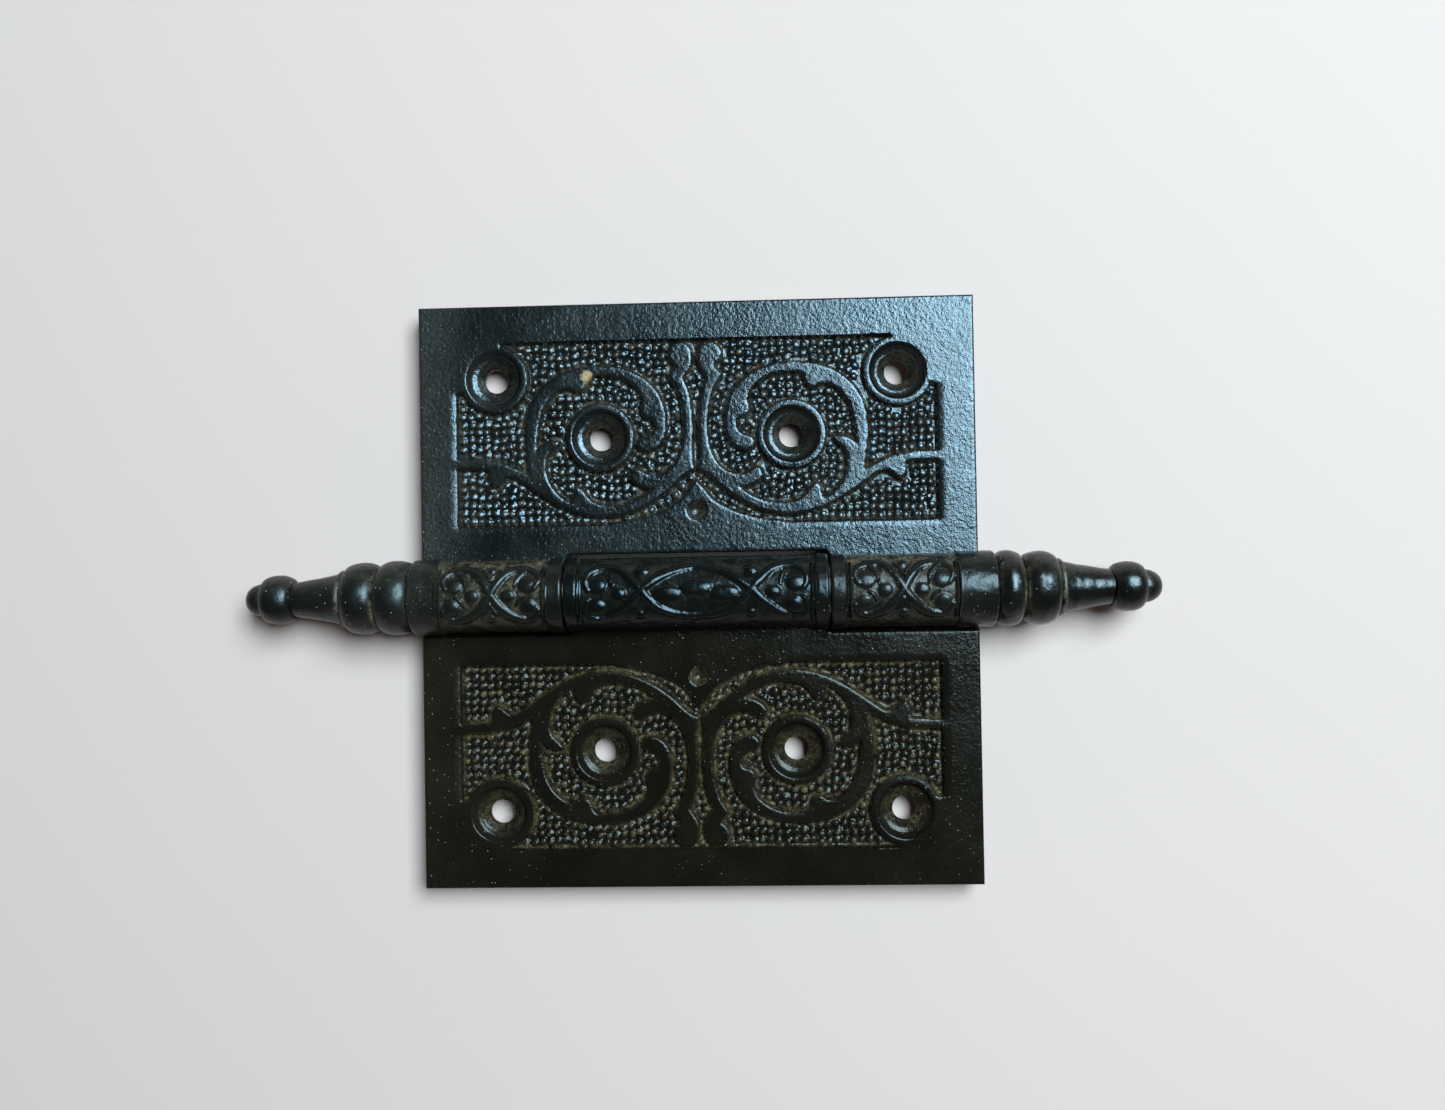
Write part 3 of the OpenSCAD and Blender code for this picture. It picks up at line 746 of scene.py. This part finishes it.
def ornament(along, around, pattern):
    # the pattern and its mirror image, as one relief from 0 to 1
    relief = np.zeros(along.size)
    for side in (1, -1):
        p = np.column_stack([side * along.ravel(), around.ravel()])
        relief = np.maximum(relief, strokeRelief(p, pattern["strokes"]))
        for x, y, wide, high in pattern["balls"]:
            far = np.hypot((p[:, 0] - x) / wide, (p[:, 1] - y) / high)
            relief = np.maximum(relief, np.sqrt(np.clip(1 - far**2, 0, 1)) * min(1, 0.5 + high * 0.3))
    return relief.reshape(along.shape)


def knuckleMesh(low, high, pattern, side, seed):
    # a closed loop of sections: the outer skin along the pin, both ends and the bore, turned round the pin
    outer = combLines(low, high, barrel["step"])
    ends = np.array([0, 0.07, 0.2, 0.45])
    outer = outer[(outer > low + 0.5) & (outer < high - 0.5)]
    skin = np.unique(np.concatenate([low + ends, outer, high - ends]))
    angle = np.linspace(0, 2 * np.pi, barrel["turns"], endpoint=False)  # from +Z towards +Y
    arc = (angle + np.pi) % (2 * np.pi) - np.pi
    x, a = np.meshgrid(skin, arc, indexing="ij")
    local = side * x - pattern["centre"] if pattern["centre"] else x
    around = a * hinge["barrelRadius"] - barrel["shift"]
    slope = barrel["bandSlope"]
    inZone = smoothStep(0, slope, pattern["halfLength"] + slope / 2 - np.abs(local))
    relief = ornament(local, around, pattern)
    radius = hinge["barrelRadius"] - barrel["sink"] * inZone + barrel["rise"] * relief * inZone
    radius += castWaves(x, around, seed, 6, 0.03)
    radius -= softEdge(np.minimum(x - low, high - x), barrel["chamfer"])
    # dust in the ground of the ornament, plus painted light: the +Y side, which faces the window, is painted
    # lighter
    dustAndPaintedLight = inZone * (1 - smoothStep(0.0, 0.5, relief)) * (0.6 + 0.4 * np.sin(a)) + 0.03
    steps = barrel["endSteps"]
    inner = np.linspace(1, 0, steps)[:, None]
    bore = hinge["boreRadius"]
    faceHigh = bore + (radius[-1] - bore) * inner
    faceLow = bore + (radius[0] - bore) * inner[::-1]
    loopX = np.concatenate([x, np.full((steps, len(angle)), high), np.full((steps, len(angle)), low)])
    loopR = np.concatenate([radius, faceHigh, faceLow])
    keepRows = np.r_[0:len(skin), len(skin) + 1:len(skin) + 2 * steps - 1]
    loopX, loopR = loopX[keepRows], loopR[keepRows]
    points = np.stack([loopX, loopR * np.sin(angle), loopR * np.cos(angle)], -1).reshape(-1, 3)
    index = np.arange(loopX.size).reshape(loopX.shape)
    quads = np.stack([index, np.roll(index, -1, 0), np.roll(np.roll(index, -1, 0), -1, 1),
                      np.roll(index, -1, 1)], -1).reshape(-1, 4)
    loopDustAndPaintedLight = np.zeros(loopX.shape)
    loopDustAndPaintedLight[:len(skin)] = dustAndPaintedLight
    return points, [quads], np.clip(loopDustAndPaintedLight, 0, 1).ravel()


for name, side in (("top_knuckle", 1), ("bottom_knuckle", -1)):
    low, high = (ownStart, hinge["upperEnd"]) if side > 0 else (-hinge["lowerEnd"], -ownStart)
    points, faces, dustAndPaintedLight = knuckleMesh(low, high, sideKnuckle, side, 41 + side)
    makePiece(name, points, faces, "frame_leaf", ["two_knuckle_leaf"], barrelJapan, dustAndPaintedLight)
points, faces, dustAndPaintedLight = knuckleMesh(-hinge["centreHalf"], hinge["centreHalf"], centreKnuckle, 1, 45)
makePiece("centre_knuckle", points, faces, "door_leaf", ["one_knuckle_leaf"],
          centreJapan, dustAndPaintedLight)


# steeple tips
print("stage 5: steeple tips")
tip = {
    "ring": 6.4,                        # width of the ring next to the lower knuckle
    "shares": (0.25, 0.642, 0.868),     # second ring, neck and bead end as shares of what is left
    "seatRings": (0.02, 2, 4, 4.6), "seat": 5.0,  # radii, from here to the button
    "rings": (6.85, 6.6), "groove": 4.7, "collar": 5.2,
    "cone": (4.75, 3.1), "neck": 2.9, "bead": 4.5, "button": 3.0,
    "collarWidth": 1.0, "coneFrom": 1.1,          # along the axis, past the second ring
    "turns": 160,
}


def arch(x0, x1, base, crest, count=26):
    # half-round moulding from x0 to x1: base + (crest - base) sin(t) ** 0.8, spaced by cos(t)
    t = np.linspace(0, np.pi, count)
    return np.column_stack([x0 + (x1 - x0) * (1 - np.cos(t)) / 2, base + (crest - base) * np.sin(t)**0.8])


def tipMesh(low, high, ring, side, seed):
    # a profile turned round the pin's axis, from the seat to the button's end, closed at both poles
    length = high - low
    second, neck, beadEnd = (ring + share * (length - ring) for share in tip["shares"])
    t = np.linspace(0, 1, 40)[:, None]
    cone = np.column_stack([second + tip["coneFrom"] + (neck - second - tip["coneFrom"]) * t,
                            tip["cone"][0] - (tip["cone"][0] - tip["cone"][1]) * t**0.8])
    t = np.linspace(0.02, np.pi / 2, 20)[:, None]
    button = np.column_stack([beadEnd + (length - beadEnd) * np.sin(t), tip["button"] * np.cos(t)**0.8])
    profile = np.vstack([
        [[0, radius] for radius in tip["seatRings"]],
        arch(0, ring, tip["seat"], tip["rings"][0]),
        arch(ring, second, tip["groove"], tip["rings"][1]),
        arch(second, second + tip["collarWidth"], tip["cone"][0] - 0.1, tip["collar"], 10),
        cone,
        arch(neck, beadEnd, tip["neck"], tip["bead"]),
        button[:-1]])
    angle = np.linspace(0, 2 * np.pi, tip["turns"], endpoint=False)
    x, a = np.meshgrid(profile[:, 0], angle, indexing="ij")
    r = np.repeat(profile[:, 1:], len(angle), 1)
    groove = smoothStep(0.8, 0.1, np.abs(x - ring)) + smoothStep(0.9, 0.1, np.abs(x - second - 0.4))
    groove += 0.6 * smoothStep(0.6, 0.1, np.abs(x - beadEnd)) + 0.6 * smoothStep(0.8, 0.1, x)
    r = r * (1 + castWaves(x, r * np.sin(a), seed, 7, 0.005)
             + castWaves(x, r * np.cos(a), seed + 1, 5, 0.004))
    points = np.stack([side * (low + x), r * np.sin(a), r * np.cos(a)], -1).reshape(-1, 3)
    index = np.arange(x.size).reshape(x.shape)
    quads = np.stack([index[:-1], index[1:], np.roll(index[1:], -1, 1), np.roll(index[:-1], -1, 1)], -1)
    quads = quads.reshape(-1, 4)
    ends = np.array([[side * low, 0, 0], [side * high, 0, 0]])
    near, far = x.size, x.size + 1
    first, last = index[0], index[-1]
    caps = np.vstack([np.column_stack([first, np.roll(first, -1), np.full(len(first), near)]),
                      np.column_stack([np.roll(last, -1), last, np.full(len(last), far)])])
    faces = [quads[:, ::-1], caps[:, ::-1]]
    if side > 0:
        faces = [f[:, ::-1] for f in faces]
    # dust in the grooves, plus painted light: the +Y side, which faces the window, is painted lighter
    dustAndPaintedLight = np.append(np.clip(0.02 + 0.3 * np.clip(np.sin(a) - 0.2, 0, 1) + groove, 0, 1).ravel(), [0, 0])
    return np.vstack([points, ends]), faces, dustAndPaintedLight


for name, node, body, side, seed in (("loose_steeple_tip", "top_tip", "loose_pin", 1, 51),
                                     ("fixed_steeple_tip", "bottom_tip", "frame_leaf", -1, 61)):
    low, high = sorted(abs(end.x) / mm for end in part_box(node))
    ring = tip["ring"] if side < 0 else tip["ring"] - (hinge["upperEnd"] - hinge["lowerEnd"])
    points, faces, dustAndPaintedLight = tipMesh(low, high, ring, side, seed)
    makePiece(name, points, faces, body, [node], tipJapan, dustAndPaintedLight)

for node in ("hinge_pin", "bottom_tip_stud", "top_bush", "bottom_bush"):
    part = frame["nodes"][node]
    part.data.materials.clear()
    part.data.materials.append(steel)


# stage, lights, camera
print("stage 6: floor, lights and camera")
studio = {
    "floor": -hinge["barrelRadius"] - 0.05,  # millimetres, as is the camera's place
    "floorReach": 3.0,             # metres each way, as are the lights' sizes and distances
    "floorTint": "#cbaa9e",        # warm card that a cool window turns neutral
    "cameraPlace": (11.63, 4.08, 201.4), "cameraTurn": (0.747, 2.011, -0.990), "lens": 27.73,
    "window": {"tilt": (25.6, 22.5), "turn": 0, "distance": 1.2, "size": (0.62, 0.78),
               "colour": (0.66, 1.0, 1.19), "power": 34.0},
    "fill": {"tilt": (-20, -66), "turn": 0, "distance": 1.5, "size": (1.4, 0.7),
             "colour": (1.0, 0.95, 0.86), "power": 0.3},
    "airColour": "#f2eee6", "airHigh": 0.03, "airLow": 0.6, "airFrom": 0.08, "airTo": 0.42,
}

floorMesh = bpy.data.meshes.new("floor")
reach = studio["floorReach"]
floorMesh.from_pydata([(-reach, -reach, 0), (reach, -reach, 0), (reach, reach, 0), (-reach, reach, 0)],
                      [], [(0, 1, 2, 3)])
floorMesh.materials.append(studioPaper("matt pale card", studio["floorTint"]))
floor = bpy.data.objects.new("floor", floorMesh)
floor.location.z = studio["floor"] * mm
bpy.context.scene.collection.objects.link(floor)


def softBox(name, values):
    # a rectangular light facing the hinge, tilted off the zenith towards +X and +Y by the two angles
    light = bpy.data.lights.new(name, "AREA")
    light.shape = "RECTANGLE"
    light.size, light.size_y = values["size"]
    light.energy = values["power"]
    light.color = values["colour"]
    lamp = bpy.data.objects.new(name, light)
    slopes = np.tan(np.radians(values["tilt"]))
    aim = Vector((slopes[0], slopes[1], 1)).normalized()
    across = Vector((0, 1, 0)).cross(aim).normalized()
    frameTurn = Matrix((across, aim.cross(across), aim)).transposed().to_4x4()
    spin = Matrix.Rotation(np.radians(values["turn"]), 4, "Z")
    lamp.matrix_world = Matrix.Translation(aim * values["distance"]) @ frameTurn @ spin
    bpy.context.scene.collection.objects.link(lamp)


softBox("window", studio["window"])
softBox("fill", studio["fill"])

world = bpy.data.worlds.new("studio air")  # dim overhead, pale near the horizon
world.use_nodes = True
sky = world.node_tree
air = next(n for n in sky.nodes if n.type == "BACKGROUND")
direction = addNode(sky, "ShaderNodeTexCoord").outputs["Generated"]
upward = addNode(sky, "ShaderNodeSeparateXYZ", {}, {0: direction})
amount = addNode(sky, "ShaderNodeMapRange", {
    "interpolation_type": "SMOOTHSTEP", 1: studio["airFrom"], 2: studio["airTo"],
    3: studio["airLow"], 4: studio["airHigh"]}, {0: upward.outputs["Z"]})
air.inputs[0].default_value = linear(studio["airColour"])
sky.links.new(amount.outputs[0], air.inputs[1])
bpy.context.scene.world = world

lens = bpy.data.cameras.new("camera")
lens.lens = studio["lens"]
lens.sensor_width = 36
lens.clip_start = 0.01
camera = bpy.data.objects.new("camera", lens)
camera.location = Vector(studio["cameraPlace"]) * mm
camera.rotation_euler = Euler([np.radians(v) for v in studio["cameraTurn"]])
bpy.context.scene.collection.objects.link(camera)
bpy.context.scene.camera = camera
bpy.context.scene.view_settings.view_transform = "Standard"
